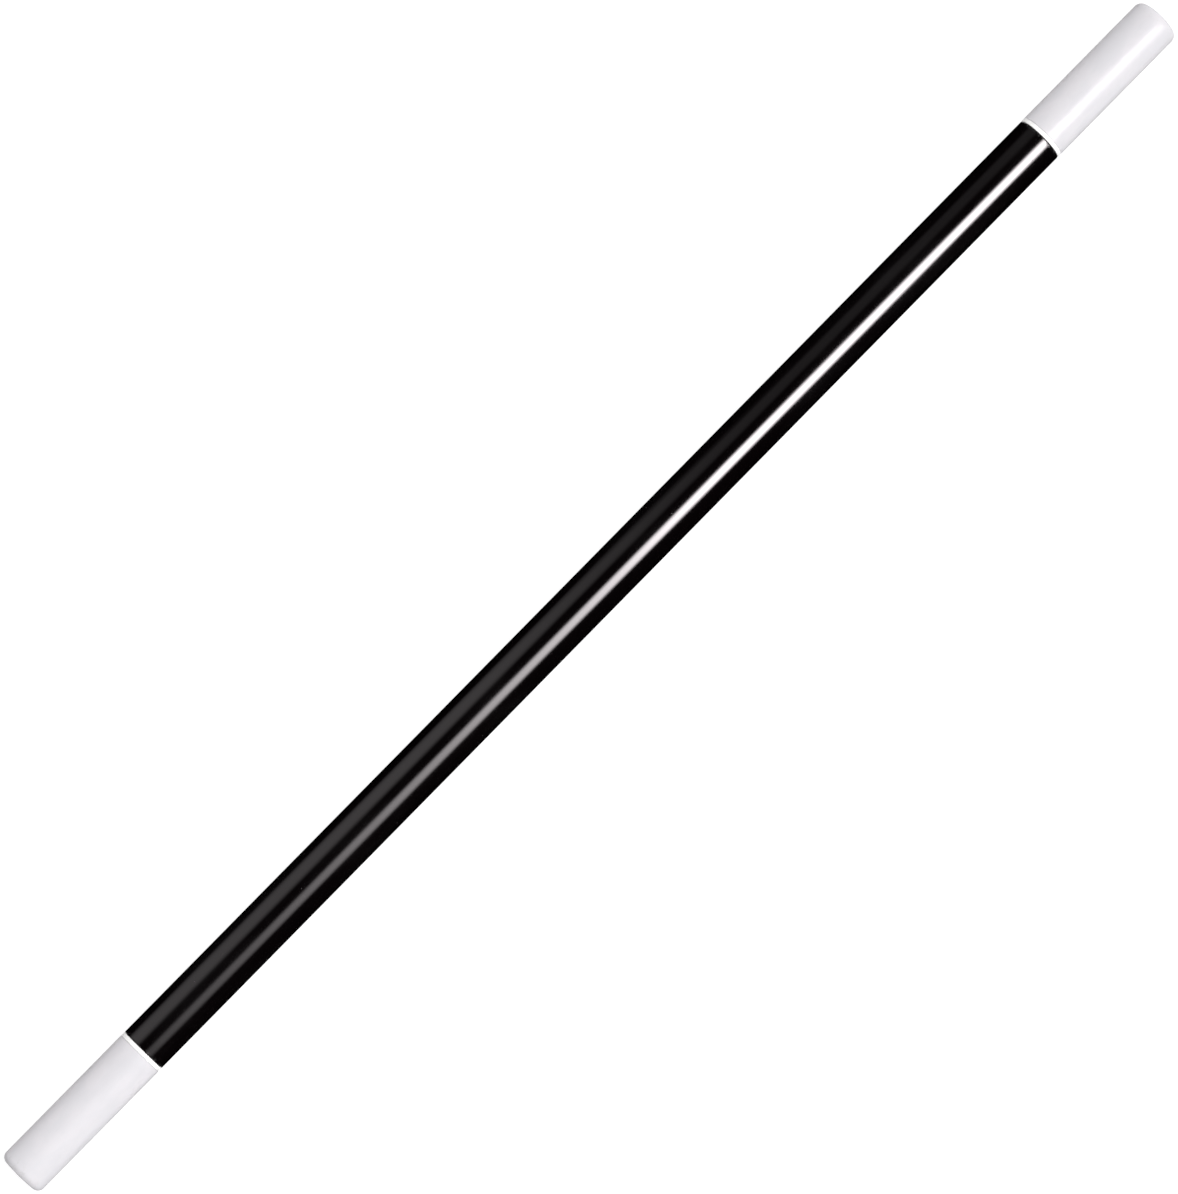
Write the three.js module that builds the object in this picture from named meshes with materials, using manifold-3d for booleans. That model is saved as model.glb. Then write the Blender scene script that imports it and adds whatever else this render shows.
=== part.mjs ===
// A magician's wand: a black plastic tube with a white tip at each end.
//
// Each tip is a moulded cap, closed at its outer end, bonded to a hollow joining plug. The plug's thin
// collar stands between the cap and the tube, flush with both. Its split and ribbed spigot pushes into the
// tube, so a tip pulls straight off and leaves the hollow tube open.
//
// Millimetres, +Z up. The wand lies along X on the plane z = 0, and its middle is over the origin.

import * as THREE from 'three';
import { mergeVertices } from 'three/addons/utils/BufferGeometryUtils.js';
import Module from 'manifold-3d';

// Overall sizes.
const OVERALL_LENGTH = 355.6;
const OUTER_DIAMETER = 11.2;
const TIP_LENGTH = 38.1; // the white part at each end, collar and cap together

// Shaft tube.
const SHAFT_WALL = 1.3;
const SHAFT_EDGE_CHAMFER = 0.15;
const SHAFT_MOUTH_CHAMFER = 0.4;

// Tip cap.
const CAP_WALL = 1.3;
const CAP_END_THICKNESS = 2.4;
const CAP_END_RADIUS = 1.6; // rounding of the outer end's edge
const CAP_INNER_RADIUS = 1.0; // rounding at the bottom of the cap's bore
const CAP_RIM_CHAMFER = 0.2;
const GATE_DIAMETER = 2.0; // the moulding's gate mark, a shallow recess in the middle of the end
const GATE_DEPTH = 0.25;

// Joining plug.
const COLLAR_WIDTH = 0.9;
const COLLAR_CHAMFER = 0.12;
const SPIGOT_LENGTH = 14; // inside the tube
const SPIGOT_LEAD = 0.8; // length of the taper at the spigot's nose
const SPIGOT_LEAD_DEPTH = 0.4;
const ROOT_LENGTH = 16; // inside the cap
const ROOT_CHAMFER = 0.5;
const PLUG_WALL = 1.2;
const RIB_COUNT = 8;
const RIB_WIDTH = 0.8;
const RIB_HEIGHT = 0.25;
const SLOT_COUNT = 4; // the slots split the spigot into springy fingers
const SLOT_WIDTH = 1.0;
const SLOT_LENGTH = 9;

// Fits.
const FIT_CLEARANCE = 0.1; // between the ribs' tops and the tube's bore
const BOND_CLEARANCE = 0.1; // between the plug's root and the cap's bore
const SEAM_GAP = 0.1; // on each side of the collar

// Faceting.
const SIDES = 48;
const FILLET_STEPS = 6;
const OVERSHOOT = 1; // how far a cutting tool runs past the face that it cuts
const MERGE_DISTANCE = 1e-4; // vertices closer than this are one

// Sizes that follow.
const OUTER_RADIUS = OUTER_DIAMETER / 2;
const SHAFT_LENGTH = OVERALL_LENGTH - 2 * TIP_LENGTH;
const SHAFT_BORE_RADIUS = OUTER_RADIUS - SHAFT_WALL;
const CAP_BORE_RADIUS = OUTER_RADIUS - CAP_WALL;
const RIB_TOP_RADIUS = SHAFT_BORE_RADIUS - FIT_CLEARANCE;
const SPIGOT_RADIUS = RIB_TOP_RADIUS - RIB_HEIGHT;
const ROOT_RADIUS = CAP_BORE_RADIUS - BOND_CLEARANCE;
const PLUG_BORE_RADIUS = Math.min(SPIGOT_RADIUS, ROOT_RADIUS) - PLUG_WALL;
const COLLAR_START = SEAM_GAP;
const COLLAR_END = COLLAR_START + COLLAR_WIDTH;
const CAP_START = COLLAR_END + SEAM_GAP;

const wasm = await Module();
wasm.setup();

const blackPlastic = new THREE.MeshStandardMaterial({ color: 0x0a0a0b, roughness: 0.22, metalness: 0 });
const whitePlastic = new THREE.MeshStandardMaterial({ color: 0xe6e4e6, roughness: 0.38, metalness: 0 });
const plugPlastic = new THREE.MeshStandardMaterial({ color: 0xf6f5f2, roughness: 0.5, metalness: 0 });

// A solid of revolution about X. The profile is a list of [x, radius] that runs with the material on its
// right, and each radius is that of the flats, so that two pieces of one radius are flush all round.
function turned(profile) {
  const acrossCorners = 1 / Math.cos(Math.PI / SIDES);
  const points = profile.map(([x, radius]) => new THREE.Vector2(radius * acrossCorners, x));
  const geometry = new THREE.LatheGeometry(points, SIDES, Math.PI / SIDES, 2 * Math.PI);
  return geometry.rotateZ(-Math.PI / 2);
}

// The points of a quarter round from one angle to another about a centre in the profile's plane.
function arc(centreX, centreRadius, radius, fromAngle, toAngle) {
  return Array.from({ length: FILLET_STEPS + 1 }, (_, i) => {
    const angle = fromAngle + ((toAngle - fromAngle) * i) / FILLET_STEPS;
    return [centreX + radius * Math.cos(angle), centreRadius + radius * Math.sin(angle)];
  });
}

// A three.js geometry as a manifold solid.
function toSolid(geometry) {
  const bare = geometry.clone();
  bare.deleteAttribute('normal');
  bare.deleteAttribute('uv');
  const merged = mergeVertices(bare, MERGE_DISTANCE);
  return new wasm.Manifold(new wasm.Mesh({
    numProp: 3,
    vertProperties: merged.attributes.position.array,
    triVerts: new Uint32Array(merged.index.array),
  }));
}

// A manifold solid as a three.js geometry.
function toGeometry(solid) {
  const mesh = solid.getMesh();
  const geometry = new THREE.BufferGeometry();
  geometry.setAttribute('position', new THREE.BufferAttribute(new Float32Array(mesh.vertProperties), 3));
  geometry.setIndex(new THREE.BufferAttribute(new Uint32Array(mesh.triVerts), 1));
  geometry.computeVertexNormals();
  return geometry;
}

// A box about X: it runs from x0 to x1 and from radius r0 to r1, and is turned by an angle round the axis.
function barOnAxis(x0, x1, r0, r1, width, angle) {
  return new THREE.BoxGeometry(x1 - x0, width, r1 - r0)
    .translate((x0 + x1) / 2, 0, (r0 + r1) / 2)
    .rotateX(angle);
}

// The shaft tube, about the wand's middle.
function shaftTubeGeometry() {
  const half = SHAFT_LENGTH / 2;
  const edge = SHAFT_EDGE_CHAMFER;
  const mouth = SHAFT_MOUTH_CHAMFER;
  return turned([
    [-half, SHAFT_BORE_RADIUS + mouth],
    [-half, OUTER_RADIUS - edge],
    [-half + edge, OUTER_RADIUS],
    [half - edge, OUTER_RADIUS],
    [half, OUTER_RADIUS - edge],
    [half, SHAFT_BORE_RADIUS + mouth],
    [half - mouth, SHAFT_BORE_RADIUS],
    [-half + mouth, SHAFT_BORE_RADIUS],
    [-half, SHAFT_BORE_RADIUS + mouth],
  ]);
}

// The tip cap, from the tube's end face at x = 0 outwards along +X.
function tipCapGeometry() {
  const boreEnd = TIP_LENGTH - CAP_END_THICKNESS;
  const gateRadius = GATE_DIAMETER / 2;
  return turned([
    [boreEnd, 0],
    ...arc(boreEnd - CAP_INNER_RADIUS, CAP_BORE_RADIUS - CAP_INNER_RADIUS, CAP_INNER_RADIUS, 0, Math.PI / 2),
    [CAP_START + CAP_RIM_CHAMFER, CAP_BORE_RADIUS],
    [CAP_START, CAP_BORE_RADIUS + CAP_RIM_CHAMFER],
    [CAP_START, OUTER_RADIUS - CAP_RIM_CHAMFER],
    [CAP_START + CAP_RIM_CHAMFER, OUTER_RADIUS],
    ...arc(TIP_LENGTH - CAP_END_RADIUS, OUTER_RADIUS - CAP_END_RADIUS, CAP_END_RADIUS, Math.PI / 2, 0),
    [TIP_LENGTH, gateRadius],
    [TIP_LENGTH - GATE_DEPTH, gateRadius],
    [TIP_LENGTH - GATE_DEPTH, 0],
  ]);
}

// The joining plug: spigot, collar and root round one bore. The spigot has slots, and ribs between them.
function joiningPlugGeometry() {
  const nose = -SPIGOT_LENGTH;
  const root = CAP_START + ROOT_LENGTH;
  const body = toSolid(turned([
    [nose, PLUG_BORE_RADIUS],
    [nose, SPIGOT_RADIUS - SPIGOT_LEAD_DEPTH],
    [nose + SPIGOT_LEAD, SPIGOT_RADIUS],
    [COLLAR_START, SPIGOT_RADIUS],
    [COLLAR_START, OUTER_RADIUS - COLLAR_CHAMFER],
    [COLLAR_START + COLLAR_CHAMFER, OUTER_RADIUS],
    [COLLAR_END - COLLAR_CHAMFER, OUTER_RADIUS],
    [COLLAR_END, OUTER_RADIUS - COLLAR_CHAMFER],
    [COLLAR_END, ROOT_RADIUS],
    [root - ROOT_CHAMFER, ROOT_RADIUS],
    [root, ROOT_RADIUS - ROOT_CHAMFER],
    [root, PLUG_BORE_RADIUS],
    [nose, PLUG_BORE_RADIUS],
  ]));
  const wallMiddle = (PLUG_BORE_RADIUS + SPIGOT_RADIUS) / 2;
  const collarMiddle = (COLLAR_START + COLLAR_END) / 2;
  const slotReach = SPIGOT_RADIUS + OVERSHOOT;
  let plug = body;
  for (let i = 0; i < RIB_COUNT; i += 1) {
    const angle = ((i + 0.5) * 2 * Math.PI) / RIB_COUNT;
    const rib = barOnAxis(nose + SPIGOT_LEAD, collarMiddle, wallMiddle, RIB_TOP_RADIUS, RIB_WIDTH, angle);
    plug = plug.add(toSolid(rib));
  }
  for (let i = 0; i < SLOT_COUNT; i += 1) {
    const angle = (i * 2 * Math.PI) / SLOT_COUNT;
    const slot = barOnAxis(nose - OVERSHOOT, nose + SLOT_LENGTH, 0, slotReach, SLOT_WIDTH, angle);
    plug = plug.subtract(toSolid(slot));
  }
  return toGeometry(plug);
}

function namedMesh(name, geometry, material) {
  const mesh = new THREE.Mesh(geometry, material);
  mesh.name = name;
  return mesh;
}

// One tip: a cap and its plug, placed on the tube's end and turned to face outwards.
function tipGroup(side, endX, turn) {
  const tip = new THREE.Group();
  tip.add(namedMesh(`${side}_joining_plug`, joiningPlugGeometry(), plugPlastic));
  tip.add(namedMesh(`${side}_tip_cap`, tipCapGeometry(), whitePlastic));
  tip.position.x = endX;
  tip.rotation.z = turn;
  return tip;
}

const wand = new THREE.Group();
wand.position.z = OUTER_RADIUS;
wand.add(namedMesh('shaft_tube', shaftTubeGeometry(), blackPlastic));
wand.add(tipGroup('left', -SHAFT_LENGTH / 2, Math.PI));
wand.add(tipGroup('right', SHAFT_LENGTH / 2, 0));

export default wand;
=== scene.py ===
"""The looks of a magician's wand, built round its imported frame.

The wand lies along X on the plane z = 0, with its middle over the origin. Every length is in metres. A
polished black tube carries a white moulded tip at each end. Each tip is a cap bonded to a ribbed plug, and
the plug's thin collar stands between the cap and the tube.
"""

import logging
import math
from abc import ABC, abstractmethod
from collections.abc import Callable, Sequence
from dataclasses import dataclass, field
from enum import Enum

import bmesh
import bpy
import numpy as np
from mathutils import Matrix, Vector


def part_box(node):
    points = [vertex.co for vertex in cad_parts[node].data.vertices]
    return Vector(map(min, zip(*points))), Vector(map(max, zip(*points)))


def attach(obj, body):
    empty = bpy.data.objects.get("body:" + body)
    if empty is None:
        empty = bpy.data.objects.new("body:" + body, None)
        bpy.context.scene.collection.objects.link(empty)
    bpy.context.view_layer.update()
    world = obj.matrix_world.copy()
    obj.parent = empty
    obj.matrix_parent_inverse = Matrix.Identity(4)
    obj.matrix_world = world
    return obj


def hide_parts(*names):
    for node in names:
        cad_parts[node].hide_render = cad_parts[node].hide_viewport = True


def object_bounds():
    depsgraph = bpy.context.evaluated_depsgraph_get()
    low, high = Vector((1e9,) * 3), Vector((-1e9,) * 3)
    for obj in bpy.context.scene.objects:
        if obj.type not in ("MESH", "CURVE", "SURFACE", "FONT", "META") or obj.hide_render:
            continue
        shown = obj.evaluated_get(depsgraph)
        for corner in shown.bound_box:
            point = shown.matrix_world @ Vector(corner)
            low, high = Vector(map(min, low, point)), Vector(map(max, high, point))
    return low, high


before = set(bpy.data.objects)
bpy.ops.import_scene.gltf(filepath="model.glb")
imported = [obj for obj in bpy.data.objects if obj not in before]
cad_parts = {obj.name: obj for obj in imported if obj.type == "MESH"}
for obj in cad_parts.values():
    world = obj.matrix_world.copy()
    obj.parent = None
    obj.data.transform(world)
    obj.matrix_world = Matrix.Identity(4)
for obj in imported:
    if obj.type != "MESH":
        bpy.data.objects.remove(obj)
CAD_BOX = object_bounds()

MM = 0.001
SAME_PLACE = 0.001 * MM  # two points closer than this are one
TUBE_WALL = 1.3 * MM
CAP_WALL = 1.3 * MM
PLASTIC_IOR = 1.49
WHITE = (1.0, 1.0, 1.0)
log = logging.getLogger("magic_wand")

Span = tuple[float, float]
Section = list[tuple[float, float]]
Colour = tuple[float, float, float]
Socket = bpy.types.NodeSocket
Relief = Callable[[np.ndarray, np.ndarray, np.ndarray], np.ndarray]


class End(Enum):
    """An end of the wand, with the direction in which it points along X."""

    LEFT = -1
    RIGHT = 1

    @property
    def word(self) -> str:
        """The end's name, as it stands in the names of nodes and pieces."""
        return self.name.lower()


class Slot(Enum):
    """A material slot of the record."""

    BLACK = "black_plastic"
    WHITE = "white_plastic"
    PLUG = "plug_plastic"


class Side(Enum):
    """A side of the wand as it lies, with its direction along Y."""

    NEAR = -1
    FAR = 1


class Easing(Enum):
    """How one number turns into another: with soft ends, or evenly."""

    SOFT = "SMOOTHSTEP"
    EVEN = "LINEAR"


@dataclass(frozen=True)
class Datum:
    """The sizes that every piece is built to. Each end is given by its distance from the wand's middle."""

    axis_height: float
    outer_radius: float
    tube_end: float
    wand_end: float

    @classmethod
    def of_frame(cls) -> "Datum":
        """Reads the sizes from the tube's node and the whole wand's box."""
        low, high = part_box("shaft_tube")
        return cls((low.z + high.z) / 2, (high.z - low.z) / 2, high.x, CAD_BOX[1].x)


DATUM = Datum.of_frame()


def reach_of(node: str) -> Span:
    """How near to the wand's middle a node of one of the tips starts, and how far out it ends."""
    low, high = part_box(node)
    return tuple(sorted((abs(low.x), abs(high.x))))


# -------------------------------------------------------------------------------- turned shapes


@dataclass(frozen=True)
class Corner:
    """A corner of a half section: its place along the axis, its radius, and how far it is rounded."""

    x: float
    r: float
    fillet: float = 0.0


def rounded(corners: Sequence[Corner], steps: int = 8) -> Section:
    """Rounds the corners of a closed half section.

    Args:
        corners: the corners in order. A corner with no fillet stays sharp.
        steps: how many chords make up each round.

    Returns:
        The points of the section, as (place along the axis, radius), with the last one not repeated.
    """
    points: Section = []
    for i, corner in enumerate(corners):
        here = np.array((corner.x, corner.r))
        if corner.fillet <= 0:
            points.append((corner.x, corner.r))
            continue
        next_corner = corners[(i + 1) % len(corners)]
        before = np.array((corners[i - 1].x, corners[i - 1].r)) - here
        after = np.array((next_corner.x, next_corner.r)) - here
        before /= np.linalg.norm(before)
        after /= np.linalg.norm(after)
        half_angle = math.acos(float(np.clip(before @ after, -1, 1))) / 2
        to_tangent = corner.fillet / math.tan(half_angle)
        bisector = (before + after) / np.linalg.norm(before + after)
        centre = here + bisector * corner.fillet / math.sin(half_angle)
        first = here + before * to_tangent - centre
        last = here + after * to_tangent - centre
        sweep = math.pi - 2 * half_angle
        for k in range(steps + 1):
            a, b = math.sin(sweep * (1 - k / steps)), math.sin(sweep * k / steps)
            point = centre + (a * first + b * last) / math.sin(sweep)
            points.append((float(point[0]), float(point[1])))
    return points


def subdivided(section: Section, longest: float) -> Section:
    """Splits a closed section's long runs, apart from one along the axis.

    Args:
        section: the section's points.
        longest: the longest run that is left whole.

    Returns:
        The section with evenly spaced points added on its long runs.
    """
    points: Section = []
    for (x0, r0), (x1, r1) in zip(section, section[1:] + section[:1]):
        parts = max(1, math.ceil(math.hypot(x1 - x0, r1 - r0) / longest))
        if r0 == 0 and r1 == 0:
            parts = 1
        points += [(x0 + (x1 - x0) * k / parts, r0 + (r1 - r0) * k / parts) for k in range(parts)]
    return points


@dataclass
class Turning:
    """A closed solid turned about the wand's axis, with a relief worked into its surface if it has one."""

    name: str
    section: Section
    sides: int = 256
    relief: Relief | None = None
    sharp_above: float = math.radians(40)

    def build(self) -> bpy.types.Object:
        """Makes the mesh in a new object at the origin.

        Returns:
            The object. Its mesh is closed, and its faces point out.
        """
        points: list[tuple[float, float, float]] = []
        rings = [self._ring(points, x, r) for x, r in self.section]
        faces: list[tuple[int, ...]] = []
        for ring, after in zip(rings, rings[1:] + rings[:1]):
            faces += self._strip(ring, after)
        mesh = bpy.data.meshes.new(self.name)
        mesh.from_pydata(points, [], faces)
        work = bmesh.new()
        work.from_mesh(mesh)
        bmesh.ops.recalc_face_normals(work, faces=work.faces)
        work.to_mesh(mesh)
        work.free()
        smooth(mesh, self.sharp_above)
        return placed(self.name, mesh)

    def _ring(self, points: list[tuple[float, float, float]], x: float, r: float) -> list[int]:
        """Adds the points at one place on the section: a ring, or a single point on the axis.

        Args:
            points: the mesh's points so far, which this adds to.
            x: the place along the axis.
            r: the radius there.

        Returns:
            The number of the point at each side, in order round the axis.
        """
        first = len(points)
        if r == 0:
            points.append((x, 0.0, DATUM.axis_height))
            return [first] * self.sides
        turn = np.arange(self.sides) * 2 * math.pi / self.sides
        radii = np.full(self.sides, r)
        if self.relief:
            radii = radii + self.relief(np.full(self.sides, x), turn, radii)
        ys, zs = radii * np.sin(turn), radii * np.cos(turn) + DATUM.axis_height
        points += zip([x] * self.sides, ys.tolist(), zs.tolist())
        return list(range(first, first + self.sides))

    def _strip(self, ring: list[int], after: list[int]) -> list[tuple[int, ...]]:
        """Joins two neighbouring rings.

        Args:
            ring: the point at each side of the first ring.
            after: the point at each side of the second ring.

        Returns:
            The faces. They are triangles where a ring is a single point, and there are none between two such
            rings.
        """
        if ring[0] == ring[1] and after[0] == after[1]:
            return []
        quads = zip(ring, ring[1:] + ring[:1], after[1:] + after[:1], after)
        return [tuple(dict.fromkeys(quad)) for quad in quads]


def placed(name: str, mesh: bpy.types.Mesh) -> bpy.types.Object:
    """Puts a mesh into the scene.

    Args:
        name: the new object's name.
        mesh: its mesh.

    Returns:
        The object, at the origin.
    """
    thing = bpy.data.objects.new(name, mesh)
    bpy.context.scene.collection.objects.link(thing)
    return thing


def smooth(mesh: bpy.types.Mesh, sharp_above: float) -> None:
    """Shades a mesh smooth, with sharp edges where it turns quickly.

    Args:
        mesh: the mesh.
        sharp_above: an edge is sharp where its faces meet at more than this angle.
    """
    mesh.polygons.foreach_set("use_smooth", [True] * len(mesh.polygons))
    mesh.set_sharp_from_angle(angle=sharp_above)
    mesh.update()


def cut(piece: bpy.types.Object, tools: Sequence[bpy.types.Object], sharp_above: float) -> None:
    """Cuts each tool's shape out of a piece, and removes the tools.

    Args:
        piece: the piece to cut. It gets a new mesh.
        tools: closed meshes.
        sharp_above: the angle above which the cut piece's edges stay sharp.
    """
    for tool in tools:
        cutter = piece.modifiers.new(tool.name, "BOOLEAN")
        cutter.operation = "DIFFERENCE"
        cutter.solver = "EXACT"
        cutter.object = tool
    made = piece.evaluated_get(bpy.context.evaluated_depsgraph_get())
    mesh = bpy.data.meshes.new_from_object(made)
    piece.modifiers.clear()
    mesh.name, piece.data.name = piece.name, piece.name + "_uncut"
    work = bmesh.new()
    work.from_mesh(mesh)
    bmesh.ops.remove_doubles(work, verts=work.verts, dist=SAME_PLACE)
    work.to_mesh(mesh)
    work.free()
    piece.data = mesh
    for tool in tools:
        bpy.data.objects.remove(tool)
    smooth(mesh, sharp_above)


# -------------------------------------------------------------------------------- materials


@dataclass(frozen=True)
class Pattern:
    """The size and the character of a pattern in a material.

    Its size is in cycles per metre, along the wand and across it. The shift moves it, so that it doesn't line
    up with another. The detail and the roughness are those of noise, and say how much finer noise lies in it.
    """

    along: float
    across: float
    shift: float = 0.0
    detail: float = 2.0
    roughness: float = 0.5


class NodeTree:
    """A material's node tree, with a short way to add each kind of node."""

    SHIFT_DIRECTION = Vector((1.0, 1.7, 2.3))

    def __init__(self, name: str) -> None:
        """Starts a material with one Principled shader, and the piece's own coordinates.

        Args:
            name: the material's name.
        """
        self.material = bpy.data.materials.new(name)
        self.material.use_nodes = True
        self.tree = self.material.node_tree
        self.shader = self.tree.nodes["Principled BSDF"]
        self.place = self._add("ShaderNodeTexCoord").outputs["Object"]

    def _add(self, kind: str, **settings: object) -> bpy.types.Node:
        """Adds a node.

        Args:
            kind: the kind of node.
            settings: the values of its properties.

        Returns:
            The node.
        """
        node = self.tree.nodes.new(kind)
        for key, value in settings.items():
            setattr(node, key, value)
        return node

    def _feed(self, socket: Socket, value: Socket | float | Sequence[float]) -> None:
        """Links a socket to another, or sets its value.

        Args:
            socket: the input.
            value: what it gets, an output or a plain value.
        """
        if isinstance(value, bpy.types.NodeSocket):
            self.tree.links.new(value, socket)
        else:
            socket.default_value = value

    def _texture(self, kind: str, pattern: Pattern, **settings: object) -> bpy.types.Node:
        """Adds a texture over the piece's own coordinates.

        Args:
            kind: the kind of node.
            pattern: the pattern's size and shift.
            settings: the values of the node's properties.

        Returns:
            The texture's node.
        """
        scaled = self._add("ShaderNodeMapping")
        self._feed(scaled.inputs["Vector"], self.place)
        scaled.inputs["Scale"].default_value = (pattern.along, pattern.across, pattern.across)
        scaled.inputs["Location"].default_value = self.SHIFT_DIRECTION * pattern.shift
        texture = self._add(kind, **settings)
        self._feed(texture.inputs["Vector"], scaled.outputs[0])
        texture.inputs["Scale"].default_value = 1.0
        return texture

    def set(self, **values: Socket | float | Sequence[float]) -> None:
        """Sets the shader's sockets.

        Args:
            values: the sockets' values, by their names with _ for a space.
        """
        for key, value in values.items():
            self._feed(self.shader.inputs[key.replace("_", " ").title().replace("Ior", "IOR")], value)

    def glow_only(self, strength: Socket, tint: Colour) -> None:
        """Makes the surface a clear sheet that glows, so that one behind another shows through it.

        Args:
            strength: how strongly it glows.
            tint: the glow's colour.
        """
        glow, both = self._add("ShaderNodeEmission"), self._add("ShaderNodeAddShader")
        self._feed(glow.inputs["Color"], (*tint, 1.0))
        self._feed(glow.inputs["Strength"], strength)
        self._feed(both.inputs[0], glow.outputs[0])
        self._feed(both.inputs[1], self._add("ShaderNodeBsdfTransparent").outputs[0])
        self._feed(self.tree.nodes["Material Output"].inputs["Surface"], both.outputs[0])
        self.tree.nodes.remove(self.shader)

    def seen_directly(self) -> Socket:
        """One where the eye meets the surface, and zero where light bounces on from it."""
        return self._add("ShaderNodeLightPath").outputs["Is Camera Ray"]

    def axis(self, letter: str) -> Socket:
        """One of the piece's own coordinates.

        Args:
            letter: X, Y or Z.

        Returns:
            The coordinate.
        """
        node = self._add("ShaderNodeSeparateXYZ")
        self._feed(node.inputs[0], self.place)
        return node.outputs[letter]

    def short_of(self, distance: float) -> Socket:
        """How far the surface lies inside a distance from the wand's middle, at either end."""
        return self.math("SUBTRACT", distance, self.math("ABSOLUTE", self.axis("X")))

    def noise(self, pattern: Pattern) -> Socket:
        """Adds smooth noise.

        Args:
            pattern: its size and character.

        Returns:
            A number from 0 to 1, about 0.5 on average.
        """
        node = self._texture("ShaderNodeTexNoise", pattern)
        node.inputs["Detail"].default_value = pattern.detail
        node.inputs["Roughness"].default_value = pattern.roughness
        return node.outputs[0]

    def cells(self, pattern: Pattern) -> tuple[Socket, Socket]:
        """The distance to the nearest of a set of random points, and that point's own random colour."""
        node = self._texture("ShaderNodeTexVoronoi", pattern)
        return node.outputs["Distance"], node.outputs["Color"]

    def cracks(self, pattern: Pattern) -> Socket:
        """The distance to the nearest border between random cells."""
        return self._texture("ShaderNodeTexVoronoi", pattern, feature="DISTANCE_TO_EDGE").outputs["Distance"]

    def math(self, operation: str, a: Socket | float, b: Socket | float = 0.0) -> Socket:
        """One arithmetic step.

        Args:
            operation: its name.
            a: the first number.
            b: the second number, if the step takes two.

        Returns:
            The result.
        """
        node = self._add("ShaderNodeMath", operation=operation)
        self._feed(node.inputs[0], a)
        self._feed(node.inputs[1], b)
        return node.outputs[0]

    def remap(self, value: Socket, span: Span, to: Span = (0.0, 1.0), easing: Easing = Easing.SOFT) -> Socket:
        """Maps a number from one span to another, and stops at the ends of both.

        Args:
            value: the number.
            span: the span that it is read against. The first end may be the greater one.
            to: the span that it is mapped to.
            easing: how it goes from one end to the other.

        Returns:
            The mapped number.
        """
        node = self._add("ShaderNodeMapRange", interpolation_type=easing.value)
        for socket, number in zip(node.inputs[1:5], (*span, *to)):
            socket.default_value = number
        self._feed(node.inputs[0], value)
        return node.outputs[0]

    def blend(self, share: Socket, first: Colour | Socket, second: Colour | Socket) -> Socket:
        """Blends two colours.

        Args:
            share: the second colour's share, from 0 to 1.
            first: the first colour.
            second: the second colour.

        Returns:
            The blend.
        """
        node = self._add("ShaderNodeMix", data_type="RGBA")
        named = {socket.identifier: socket for socket in node.inputs}
        self._feed(named["Factor_Float"], share)
        for identifier, value in (("A_Color", first), ("B_Color", second)):
            self._feed(named[identifier], value if isinstance(value, bpy.types.NodeSocket) else (*value, 1.0))
        return next(socket for socket in node.outputs if socket.identifier == "Result_Color")

    def bump(self, height: Socket, depth: float, under: Socket | None = None) -> Socket:
        """Works a height into the surface.

        Args:
            height: the height, from 0 to 1.
            depth: the depth that 1 stands for.
            under: the surface normal that this lies over, if there is one.

        Returns:
            The new surface normal.
        """
        node = self._add("ShaderNodeBump")
        node.inputs["Strength"].default_value = 1.0
        node.inputs["Distance"].default_value = depth
        self._feed(node.inputs["Height"], height)
        if under is not None:
            self._feed(node.inputs["Normal"], under)
        return node.outputs[0]


@dataclass(frozen=True)
class Finish(ABC):
    """A plastic's finish: its colour, its gloss, and the marks that making and use leave on it.

    A field that ends in `_edge` is the span of values over which a mark, or a change of gloss, fades in.
    """

    slot: Slot
    colour: Colour
    gloss: Span

    @abstractmethod
    def dress(self, nodes: NodeTree) -> None:
        """Writes this finish into a node tree."""

    def material(self) -> bpy.types.Material:
        """Makes a material of the finish.

        Returns:
            The material.
        """
        nodes = NodeTree(self.slot.value)
        nodes.set(metallic=0.0, ior=PLASTIC_IOR)
        self.dress(nodes)
        return nodes.material


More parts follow.
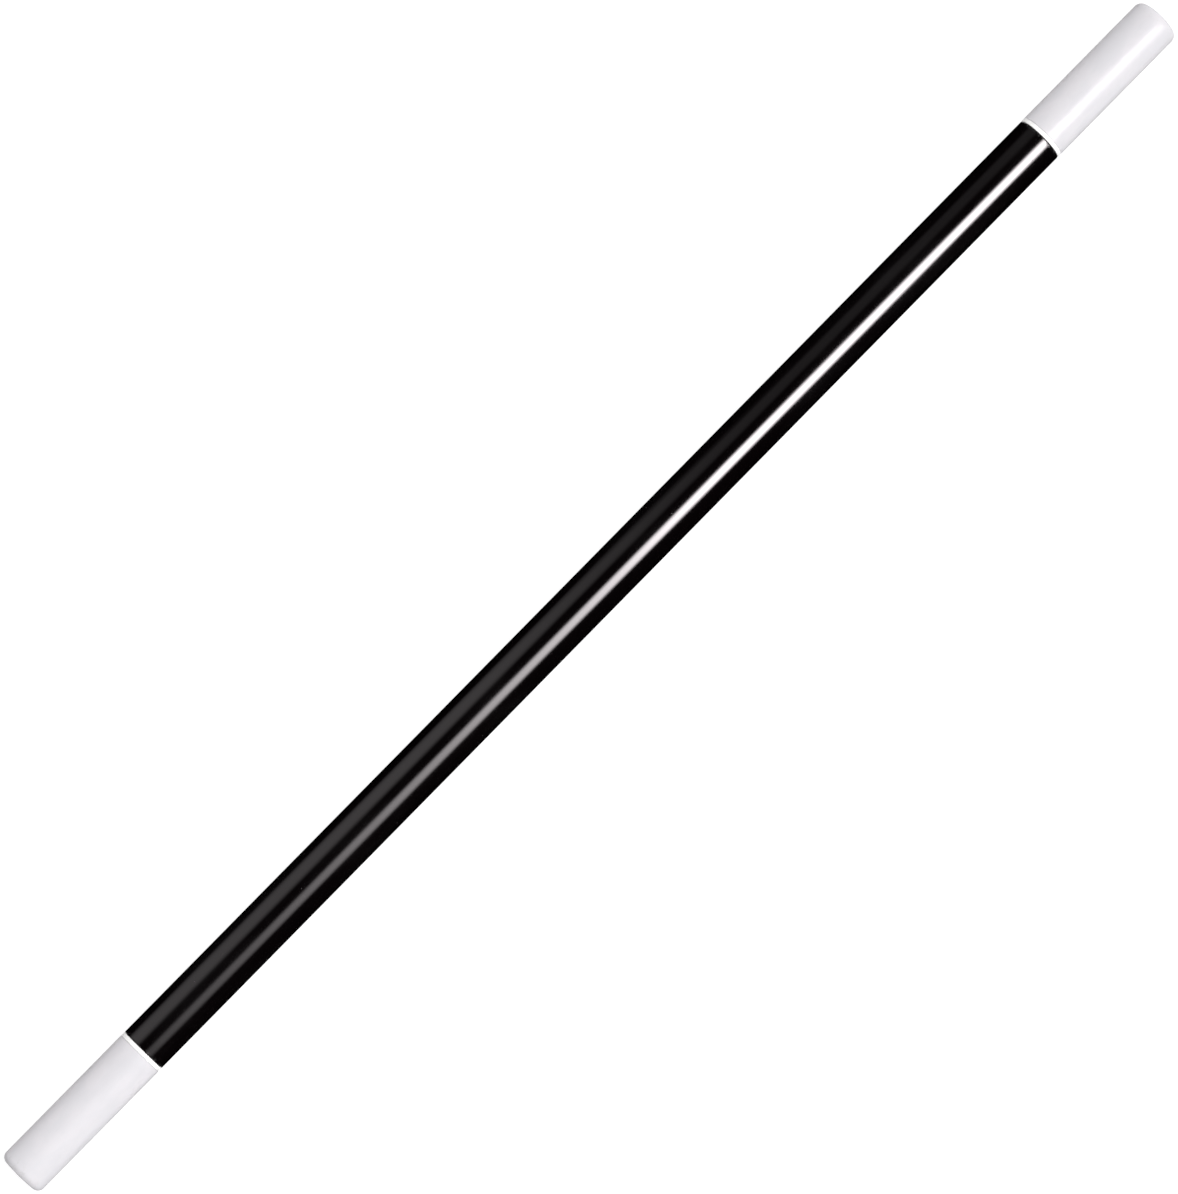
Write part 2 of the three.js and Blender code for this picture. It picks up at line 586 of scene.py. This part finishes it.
@dataclass(frozen=True)
class PolishedBlack(Finish):
    """Extruded black plastic with a high polish: faint draw lines, fine scratches, dust and rubbed edges."""

    slot: Slot = Slot.BLACK
    colour: Colour = (0.0014, 0.0008, 0.0010)
    gloss: Span = (0.10, 0.16)
    worn: Colour = (0.008, 0.0078, 0.0080)
    dust: Colour = (0.020, 0.019, 0.018)
    dulling: float = 0.35
    draw_lines: Pattern = Pattern(3, 2400, detail=3)
    draw_line_depth: float = 0.0022 * MM
    smudges: Pattern = Pattern(28, 130, shift=4.0, detail=4, roughness=0.6)
    smudge_edge: Span = (0.45, 0.75)
    smudge_gloss_edge: Span = (0.35, 0.75)
    smudge_share: float = 0.25
    rubbed_reach: float = 0.9 * MM
    ragged: Pattern = Pattern(900, 900, shift=2.0, detail=3)
    ragged_edge: Span = (0.42, 0.62)
    specks: Pattern = Pattern(420, 420, shift=7.0)
    speck_edge: Span = (0.075, 0.03)
    speck_kept_edge: Span = (0.72, 0.80)
    scratches: Pattern = Pattern(60, 900, shift=3.0)
    scratch_width: float = 0.03
    scratch_depth: float = 0.001 * MM

    def dress(self, nodes: NodeTree) -> None:
        """Writes this finish into a node tree.

        Args:
            nodes: the tree to write into.
        """
        smudges = nodes.noise(self.smudges)
        rubbed = nodes.remap(nodes.short_of(DATUM.tube_end), (self.rubbed_reach, 0.0))
        edge_wear = nodes.math("MULTIPLY", rubbed, nodes.remap(nodes.noise(self.ragged), self.ragged_edge))
        from_speck, speck_colour = nodes.cells(self.specks)
        dusty = nodes.math("MULTIPLY", nodes.remap(from_speck, self.speck_edge),
                           nodes.remap(speck_colour, self.speck_kept_edge))
        hazy = nodes.remap(smudges, self.smudge_edge, (0.0, self.smudge_share))
        base = nodes.blend(hazy, self.colour, self.worn)
        base = nodes.blend(edge_wear, base, self.worn)
        base = nodes.blend(dusty, base, self.dust)
        dulled = nodes.math("MULTIPLY", nodes.math("ADD", edge_wear, dusty), self.dulling)
        gloss = nodes.math("ADD", nodes.remap(smudges, self.smudge_gloss_edge, self.gloss), dulled)
        normal = nodes.bump(nodes.noise(self.draw_lines), self.draw_line_depth)
        scratches = nodes.remap(nodes.cracks(self.scratches), (0.0, self.scratch_width))
        normal = nodes.bump(scratches, self.scratch_depth, normal)
        nodes.set(base_color=base, roughness=gloss, normal=normal)


@dataclass(frozen=True)
class MouldedWhite(Finish):
    """Moulded white plastic, satin to semi-gloss: faint clouds, a fine grain, and scuffs at the end."""

    slot: Slot = Slot.WHITE
    colour: Colour = (0.615, 0.598, 0.622)
    gloss: Span = (0.26, 0.34)
    shine: float = 0.10
    cloud: Colour = (0.585, 0.575, 0.600)
    scuff: Colour = (0.47, 0.46, 0.46)
    dulling: float = 0.3
    clouds: Pattern = Pattern(120, 260, shift=1.0, detail=3, roughness=0.55)
    cloud_edge: Span = (0.35, 0.65)
    cloud_gloss_edge: Span = (0.3, 0.7)
    scuff_reach: float = 4 * MM
    scuffs: Pattern = Pattern(520, 900, shift=5.0, detail=4, roughness=0.65)
    scuff_edge: Span = (0.56, 0.70)
    scuff_share: float = 0.7
    grain: Pattern = Pattern(1500, 1500, shift=6.0)
    grain_depth: float = 0.0035 * MM

    def dress(self, nodes: NodeTree) -> None:
        """Writes this finish into a node tree.

        Args:
            nodes: the tree to write into.
        """
        clouds = nodes.noise(self.clouds)
        near_end = nodes.remap(nodes.short_of(DATUM.wand_end), (self.scuff_reach, 0.0))
        scuffs = nodes.remap(nodes.noise(self.scuffs), self.scuff_edge, (0.0, self.scuff_share))
        scuffed = nodes.math("MULTIPLY", near_end, scuffs)
        base = nodes.blend(nodes.remap(clouds, self.cloud_edge), self.colour, self.cloud)
        base = nodes.blend(scuffed, base, self.scuff)
        gloss = nodes.math("ADD", nodes.remap(clouds, self.cloud_gloss_edge, self.gloss),
                           nodes.math("MULTIPLY", scuffed, self.dulling))
        nodes.set(base_color=base, roughness=gloss, specular_ior_level=self.shine,
                  normal=nodes.bump(nodes.noise(self.grain), self.grain_depth))


@dataclass(frozen=True)
class PlainWhite(Finish):
    """The plug's plain white: clean on the collar, greyed and streaked where it rubs in the tube."""

    slot: Slot = Slot.PLUG
    colour: Colour = (0.86, 0.855, 0.85)
    gloss: Span = (0.38, 0.55)
    handled: Colour = (0.60, 0.59, 0.57)
    rubbed: Colour = (0.33, 0.325, 0.32)
    inside_edge: Span = (-0.1 * MM, 0.6 * MM)
    mottle: Pattern = Pattern(180, 400, shift=3.0, detail=4, roughness=0.6)
    mottle_edge: Span = (0.35, 0.65)
    mottle_share: float = 0.10
    mottle_wide_edge: Span = (0.3, 0.7)
    inside_mottle_share: Span = (0.75, 1.0)
    drag: Pattern = Pattern(70, 1500, shift=2.0, detail=3, roughness=0.6)
    drag_edge: Span = (0.50, 0.68)
    drag_share: float = 0.8
    burnish: float = 0.15
    grain: Pattern = Pattern(2200, 2200, shift=8.0)
    grain_depth: float = 0.004 * MM

    def dress(self, nodes: NodeTree) -> None:
        """Writes this finish into a node tree.

        Args:
            nodes: the tree to write into.
        """
        inside = nodes.remap(nodes.short_of(DATUM.tube_end), self.inside_edge)
        mottle = nodes.noise(self.mottle)
        streaks = nodes.math("MULTIPLY", inside,
                             nodes.remap(nodes.noise(self.drag), self.drag_edge, (0.0, self.drag_share)))
        greyed = nodes.math("MULTIPLY", inside,
                            nodes.remap(mottle, self.mottle_wide_edge, self.inside_mottle_share))
        soiled = nodes.remap(mottle, self.mottle_edge, (0.0, self.mottle_share))
        base = nodes.blend(soiled, self.colour, self.handled)
        base = nodes.blend(greyed, base, self.handled)
        base = nodes.blend(streaks, base, self.rubbed)
        gloss = nodes.math("SUBTRACT", nodes.remap(mottle, self.mottle_wide_edge, self.gloss),
                           nodes.math("MULTIPLY", streaks, self.burnish))
        normal = nodes.bump(nodes.noise(self.grain), self.grain_depth)
        nodes.set(base_color=base, roughness=gloss, normal=normal)


# -------------------------------------------------------------------------------- the wand's pieces


@dataclass
class WandPiece(ABC):
    """A piece of the wand: a turned solid in one finish, which stands for a node of the frame."""

    finish: Finish

    @property
    @abstractmethod
    def node(self) -> str:
        """The frame's node that this piece stands for."""

    @property
    @abstractmethod
    def body(self) -> str:
        """The body that this piece moves with."""

    @abstractmethod
    def shape(self) -> bpy.types.Object:
        """Builds the piece's mesh."""

    def make(self) -> bpy.types.Object:
        """Builds the piece, dresses it, and ties it to the frame.

        Returns:
            The finished piece.
        """
        piece = self.shape()
        piece.data.materials.clear()
        piece.data.materials.append(self.finish.material())
        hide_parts(self.node)
        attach(piece, self.body)
        return piece


@dataclass
class ShaftTube(WandPiece):
    """The black tube: open at both ends, with broken edges and a surface that is never quite even.

    Each wave in that surface has a length along the tube, and a number of lobes round it.
    """

    finish: Finish = field(default_factory=PolishedBlack)
    wall: float = TUBE_WALL
    edge_round: float = 0.15 * MM
    mouth_round: float = 0.4 * MM
    ring_spacing: float = 4 * MM
    unevenness: float = 0.006 * MM
    waves: tuple[tuple[float, int], ...] = ((31 * MM, 2), (53 * MM, 3), (87 * MM, 1))

    @property
    def node(self) -> str:
        """The frame's node that this piece stands for."""
        return "shaft_tube"

    @property
    def body(self) -> str:
        """The body that this piece moves with."""
        return "shaft"

    def shape(self) -> bpy.types.Object:
        """Builds the piece's mesh.

        Returns:
            The tube.
        """
        end, outer = DATUM.tube_end, DATUM.outer_radius
        bore = outer - self.wall
        section = rounded([
            Corner(-end, outer, self.edge_round),
            Corner(end, outer, self.edge_round),
            Corner(end, bore, self.mouth_round),
            Corner(-end, bore, self.mouth_round),
        ])
        return Turning("polished_tube", subdivided(section, self.ring_spacing), relief=self._uneven).build()

    def _uneven(self, x: np.ndarray, turn: np.ndarray, radii: np.ndarray) -> np.ndarray:
        """Works slow waves into the surface, along the tube and round it.

        Args:
            x: the points' places along the axis.
            turn: their angles round it.
            radii: their radii.

        Returns:
            How far each point moves out, which is never more than nothing.
        """
        total = sum(np.sin(2 * math.pi * x / length + lobes * turn) for length, lobes in self.waves)
        return (total / len(self.waves) - 1) / 2 * self.unevenness


@dataclass
class TipPiece(WandPiece):
    """A piece of a tip, at one end of the wand."""

    end: End = End.RIGHT

    @property
    def body(self) -> str:
        """The body that this piece moves with."""
        return f"{self.end.word}_tip"

    def turned(self, name: str, section: Section, **settings: object) -> bpy.types.Object:
        """Turns a section that is drawn outwards from the wand's middle, at this piece's end of the wand.

        Args:
            name: the piece's name, after the word for its end.
            section: the section's points.
            settings: what else the turning is told.

        Returns:
            The turned piece.
        """
        placed_section = [(self.end.value * x, r) for x, r in section]
        return Turning(f"{self.end.word}_{name}", placed_section, **settings).build()


@dataclass
class TipCap(TipPiece):
    """The white cap: a moulded thimble with a rounded, barely domed end, a gate mark and parting lines."""

    finish: Finish = field(default_factory=MouldedWhite)
    wall: float = CAP_WALL
    rim_round: float = 0.12 * MM
    end_round: float = 1.6 * MM
    end_thickness: float = 2.4 * MM
    bore_round: float = 1.0 * MM
    dome: float = 0.3 * MM
    gate_radius: float = 1.0 * MM
    gate_depth: float = 0.25 * MM
    gate_round: float = 0.08 * MM
    round_steps: int = 10
    ring_spacing: float = 3 * MM
    parting_height: float = 0.02 * MM
    parting_width: float = 0.16 * MM

    @property
    def node(self) -> str:
        """The frame's node that this piece stands for."""
        return f"{self.end.word}_tip_cap"

    def shape(self) -> bpy.types.Object:
        """Builds the piece's mesh.

        Returns:
            The cap.
        """
        rim, end = reach_of(self.node)
        outer, bore = DATUM.outer_radius, DATUM.outer_radius - self.wall
        bottom = end - self.end_thickness
        section = rounded([
            Corner(bottom, 0),
            Corner(bottom, bore, self.bore_round),
            Corner(rim, bore, self.rim_round),
            Corner(rim, outer, self.rim_round),
            Corner(end - self.dome, outer, self.end_round),
            Corner(end, self.gate_radius, self.gate_round),
            Corner(end - self.gate_depth, self.gate_radius, self.gate_round),
            Corner(end - self.gate_depth, 0),
        ], self.round_steps)
        return self.turned("cap", subdivided(section, self.ring_spacing), relief=self._parted)

    def _parted(self, x: np.ndarray, turn: np.ndarray, radii: np.ndarray) -> np.ndarray:
        """Raises the parting lines that the two halves of the mould leave along the cap's outside.

        Args:
            x: the points' places along the axis.
            turn: their angles round it.
            radii: their radii.

        Returns:
            How far each point moves out.
        """
        from_line = np.abs(np.cos(turn)) * radii
        ridge = np.clip(1 - from_line / self.parting_width, 0, 1) * self.parting_height
        return np.where(radii > DATUM.outer_radius - self.wall / 2, ridge, 0.0)


@dataclass
class JoiningPlug(TipPiece):
    """The plug that joins cap and tube: a collar, a root in the cap, and a ribbed spigot in the tube."""

    finish: Finish = field(default_factory=PlainWhite)
    wall: float = 1.2 * MM
    seam_gap: float = 0.1 * MM
    cap_gap: float = 0.04 * MM
    fit_clearance: float = 0.1 * MM
    bond_clearance: float = 0.1 * MM
    collar_round: float = 0.12 * MM
    collar_cap_round: float = 0.05 * MM
    inner_round: float = 0.1 * MM
    lead: float = 0.8 * MM
    lead_depth: float = 0.4 * MM
    lead_round: float = 0.2 * MM
    nose_round: float = 0.1 * MM
    root_round: float = 0.4 * MM
    mouth_round: float = 0.15 * MM
    rib_count: int = 8
    rib_height: float = 0.25 * MM
    rib_width: float = 0.8 * MM
    rib_flank: float = 0.16 * MM
    rib_run_out: float = 1.2 * MM
    slot_width: float = 1.0 * MM
    slot_length: float = 9 * MM
    slot_end_points: int = 17
    slot_overshoot: float = 1 * MM
    round_steps: int = 5
    ring_spacing: float = 1.2 * MM
    sides: int = 208
    sharp_above: float = math.radians(32)

    @property
    def node(self) -> str:
        """The frame's node that this piece stands for."""
        return f"{self.end.word}_joining_plug"

    @property
    def collar_start(self) -> float:
        """How far from the wand's middle the collar starts."""
        return DATUM.tube_end + self.seam_gap

    @property
    def spigot_radius(self) -> float:
        """The spigot's radius between its ribs."""
        return DATUM.outer_radius - TUBE_WALL - self.fit_clearance - self.rib_height

    def shape(self) -> bpy.types.Object:
        """Builds the piece's mesh.

        Returns:
            The plug, with its slots cut.
        """
        nose, root_end = reach_of(self.node)
        collar_end = reach_of(f"{self.end.word}_tip_cap")[0] - self.cap_gap
        outer = DATUM.outer_radius
        root = outer - CAP_WALL - self.bond_clearance
        spigot, bore = self.spigot_radius, self.spigot_radius - self.wall
        section = rounded([
            Corner(nose, bore, self.mouth_round),
            Corner(nose, spigot - self.lead_depth, self.nose_round),
            Corner(nose + self.lead, spigot, self.lead_round),
            Corner(self.collar_start, spigot, self.inner_round),
            Corner(self.collar_start, outer, self.collar_round),
            Corner(collar_end, outer, self.collar_cap_round),
            Corner(collar_end, root, self.inner_round),
            Corner(root_end, root, self.root_round),
            Corner(root_end, bore, self.mouth_round),
        ], self.round_steps)
        piece = self.turned("plug", subdivided(section, self.ring_spacing), relief=self._ribbed,
                            sides=self.sides)
        cut(piece, [self._slot(nose, turn) for turn in (0.0, math.pi / 2)], self.sharp_above)
        return piece

    def _ribbed(self, x: np.ndarray, turn: np.ndarray, radii: np.ndarray) -> np.ndarray:
        """Raises the ribs, which start behind the nose's taper and run into the collar.

        Args:
            x: the points' places along the axis.
            turn: their angles round it.
            radii: their radii.

        Returns:
            How far each point moves out.
        """
        nose = reach_of(self.node)[0]
        pitch = 2 * math.pi / self.rib_count
        off_rib = np.abs((turn % pitch) - pitch / 2) * radii
        flank = np.clip((self.rib_width / 2 + self.rib_flank / 2 - off_rib) / self.rib_flank, 0, 1)
        start = np.clip((np.abs(x) - nose - self.lead) / self.rib_run_out, 0, 1)
        soft = flank * flank * (3 - 2 * flank) * np.sqrt(start * (2 - start))
        on_spigot = (np.abs(x) < self.collar_start) & (np.abs(radii - self.spigot_radius) < SAME_PLACE)
        return np.where(on_spigot, soft * self.rib_height, 0.0)

    def _slot(self, nose: float, turn: float) -> bpy.types.Object:
        """Makes a tool for two opposite slots: a flat bar with a round end, right through the spigot.

        Args:
            nose: how far from the wand's middle the spigot starts.
            turn: the bar's angle round the axis.

        Returns:
            The tool.
        """
        half, reach = self.slot_width / 2, DATUM.outer_radius
        start, round_centre = nose - self.slot_overshoot, nose + self.slot_length - half
        outline = [(start, -half), (start, half)]
        outline += [(round_centre + half * math.sin(a), half * math.cos(a))
                    for a in np.linspace(0, math.pi, self.slot_end_points)]
        work = bmesh.new()
        layers = [[work.verts.new((self.end.value * x, w, h)) for x, w in outline] for h in (-reach, reach)]
        work.faces.new(layers[0])
        work.faces.new(layers[1][::-1])
        for k in range(len(outline)):
            n = (k + 1) % len(outline)
            work.faces.new((layers[0][n], layers[0][k], layers[1][k], layers[1][n]))
        bmesh.ops.recalc_face_normals(work, faces=work.faces)
        to_place = Matrix.Translation((0, 0, DATUM.axis_height)) @ Matrix.Rotation(turn, 4, "X")
        bmesh.ops.transform(work, matrix=to_place, verts=work.verts)
        mesh = bpy.data.meshes.new("slot_tool")
        work.to_mesh(mesh)
        work.free()
        return placed("slot_tool", mesh)


# -------------------------------------------------------------------------------- the studio


def sheet(name: str, x_span: Span, y_span: Span) -> bpy.types.Object:
    """Lays a flat rectangular sheet in the plane z = 0.

    Args:
        name: the sheet's name.
        x_span: where it starts and ends along X.
        y_span: where it starts and ends along Y.

    Returns:
        The sheet.
    """
    (x0, x1), (y0, y1) = x_span, y_span
    mesh = bpy.data.meshes.new(name)
    mesh.from_pydata([(x0, y0, 0), (x1, y0, 0), (x1, y1, 0), (x0, y1, 0)], [], [(0, 1, 2, 3)])
    return placed(name, mesh)


@dataclass(frozen=True)
class SoftStrip:
    """A long soft light that only glossy surfaces reflect, whose strength can change along the wand.

    Its angle, in degrees from straight up, is seen from the wand. Its strength goes from the first number to
    the second between the two places along X in `change`, by an even factor for each step. Towards its long
    edges it fades over the share of its half width that `fade` gives.
    """

    name: str
    side: Side
    from_vertical: float
    width: float
    strength: Span
    change: Span = (-0.1, 0.1)
    easing: Easing = Easing.SOFT
    fade: float = 0.7
    distance: float = 0.5
    reach: Span = (-0.60, 0.60)
    tint: Colour = (1.0, 0.94, 0.96)

    def build(self, aim: Vector) -> bpy.types.Object:
        """Builds the strip as a flat sheet that faces the wand.

        Args:
            aim: the middle of the wand.

        Returns:
            The strip, which belongs to the stage.
        """
        angle = math.radians(self.from_vertical) * self.side.value
        towards = Vector((0, math.sin(angle), math.cos(angle)))
        strip = sheet(self.name, self.reach, (-self.width / 2, self.width / 2))
        facing_wand = Matrix.Rotation(-angle, 4, "X")
        strip.matrix_world = Matrix.Translation(aim + towards * self.distance) @ facing_wand
        strip.data.materials.append(self._glow())
        for kind in ("camera", "diffuse", "transmission", "volume_scatter", "shadow"):
            setattr(strip, f"visible_{kind}", False)
        return strip

    def _glow(self) -> bpy.types.Material:
        """Makes the strip's light, which fades towards its long edges.

        Returns:
            The strip's material.
        """
        nodes = NodeTree(self.name)
        first, last = self.strength
        share = nodes.remap(nodes.axis("X"), self.change, easing=self.easing)
        power = nodes.math("MULTIPLY", nodes.math("POWER", last / first, share), first)
        edge = self.width / 2
        soft = nodes.remap(nodes.math("ABSOLUTE", nodes.axis("Y")), (edge, edge * (1 - self.fade)))
        nodes.glow_only(nodes.math("MULTIPLY", power, soft), self.tint)
        return nodes.material


@dataclass(frozen=True)
class SoftSun:
    """A broad soft light from far away, which glossy surfaces don't reflect.

    It stands straight above, and is tilted towards the near side and towards the right by angles in degrees.
    Its softness is the angle that it fills.
    """

    name: str
    strength: float
    towards_near: float
    towards_right: float
    softness: float

    def build(self) -> bpy.types.Object:
        """Adds the light to the scene.

        Returns:
            The light.
        """
        light = bpy.data.lights.new(self.name, "SUN")
        light.energy = self.strength
        light.angle = math.radians(self.softness)
        sun = bpy.data.objects.new(self.name, light)
        sun.rotation_euler = (math.radians(self.towards_near), math.radians(self.towards_right), 0)
        sun.visible_glossy = False
        bpy.context.scene.collection.objects.link(sun)
        return sun


@dataclass
class Studio:
    """A plain pale floor in a white surround, soft light from above, and a camera over the wand.

    The camera turns the wand by `wand_turn` degrees in the picture, and leans by `camera_lean` degrees
    towards the wand's left end. The wand takes up `share_of_diagonal` of the picture's diagonal.
    """

    floor_size: float = 60.0
    floor_white: float = 0.95
    floor_seen: float = 0.20
    floor_glow: float = 0.88
    surround: float = 0.50
    suns: tuple[SoftSun, ...] = (
        SoftSun("key_light", 2.85, towards_near=10.0, towards_right=18.0, softness=50.0),
        SoftSun("near_fill", 0.50, towards_near=78.0, towards_right=10.0, softness=60.0),
    )
    strips: tuple[SoftStrip, ...] = (
        SoftStrip("key_strip", Side.NEAR, 30.5, 0.46, (1.15, 34.0), (-0.15, 0.085), Easing.EVEN, fade=0.8,
                  reach=(-0.30, 0.30)),
        SoftStrip("far_strip", Side.FAR, 61.5, 0.80, (0.90, 0.005), (-0.02, 0.24)),
        SoftStrip("faint_strip", Side.FAR, 51.5, 0.72, (0.22, 0.22), distance=0.6),
    )
    picture: tuple[int, int] = (1178, 1194)
    share_of_diagonal: float = 0.9690
    wand_turn: float = 45.455
    camera_distance: float = 1.4
    camera_lean: float = 4.5
    sensor: float = 36 * MM

    def build(self) -> None:
        """Builds the floor, the surround, the lights and the camera."""
        low, high = CAD_BOX
        middle = (low + high) / 2
        self._floor(low.z)
        self._world()
        for sun in self.suns:
            sun.build()
        for strip in self.strips:
            strip.build(middle)
        self._camera(middle, high.x - low.x)
        bpy.context.scene.view_settings.view_transform = "Standard"

    def _floor(self, height: float) -> None:
        """Lays a floor that looks lit from behind, as a light table does, so shadows hardly show.

        Args:
            height: the height of the surface that the wand rests on.
        """
        half = self.floor_size / 2
        floor = sheet("floor", (-half, half), (-half, half))
        floor.location.z = height
        nodes = NodeTree("pale_floor")
        seen = nodes.seen_directly()
        tone = nodes.blend(seen, (self.floor_white,) * 3, (self.floor_seen,) * 3)
        glow = nodes.math("MULTIPLY", seen, self.floor_glow)
        nodes.set(base_color=tone, roughness=1.0, specular_ior_level=0.0, emission_color=(*WHITE, 1.0),
                  emission_strength=glow)
        floor.data.materials.append(nodes.material)
        floor.visible_glossy = False

    def _world(self) -> None:
        """Makes the even surround, which is plain white to the eye and fainter as a light."""
        world = bpy.data.worlds.new("surround")
        bpy.context.scene.world = world
        world.use_nodes = True
        tree = world.node_tree
        background = tree.nodes["Background"]
        background.inputs["Color"].default_value = (*WHITE, 1.0)
        strength = tree.nodes.new("ShaderNodeMapRange")
        strength.inputs["To Min"].default_value = self.surround
        strength.inputs["To Max"].default_value = 1.0
        path = tree.nodes.new("ShaderNodeLightPath")
        tree.links.new(path.outputs["Is Camera Ray"], strength.inputs["Value"])
        tree.links.new(strength.outputs[0], background.inputs["Strength"])
        world.cycles_visibility.glossy = False

    def _camera(self, middle: Vector, wand_length: float) -> None:
        """Sets the camera so that the wand lies across the picture, its two ends equally far from the middle.

        The camera leans towards the left end, so that end looks larger, and the camera aims a little left of
        the wand's middle.

        Args:
            middle: the wand's middle.
            wand_length: the wand's length.
        """
        width, height = self.picture
        reach = self.share_of_diagonal * math.hypot(width, height) / max(width, height)
        lean = math.radians(self.camera_lean)
        data = bpy.data.cameras.new("camera")
        data.sensor_width = self.sensor / MM
        data.lens = data.sensor_width * reach * self.camera_distance / (wand_length * math.cos(lean))
        camera = bpy.data.objects.new("camera", data)
        aim = middle - Vector(((wand_length / 2) ** 2 * math.sin(lean) / self.camera_distance, 0, 0))
        back = Vector((-math.sin(lean), 0, math.cos(lean)))
        right = Vector((0, 1, 0)).cross(back)
        upright = Matrix((right, Vector((0, 1, 0)), back)).transposed().to_4x4()
        camera.matrix_world = (Matrix.Translation(aim + back * self.camera_distance) @ upright
                               @ Matrix.Rotation(-math.radians(self.wand_turn), 4, "Z"))
        bpy.context.scene.collection.objects.link(camera)
        bpy.context.scene.camera = camera


def main() -> None:
    """Builds the studio and every piece of the wand, and reports each piece."""
    logging.basicConfig(level=logging.INFO, format="%(name)s: %(message)s")
    Studio().build()
    parts: list[WandPiece] = [ShaftTube()]
    for end in End:
        parts += [JoiningPlug(end=end), TipCap(end=end)]
    for part in parts:
        piece = part.make()
        log.info("%s: %d faces, stands for %s", piece.name, len(piece.data.polygons), part.node)


if __name__ == "__main__":
    main()
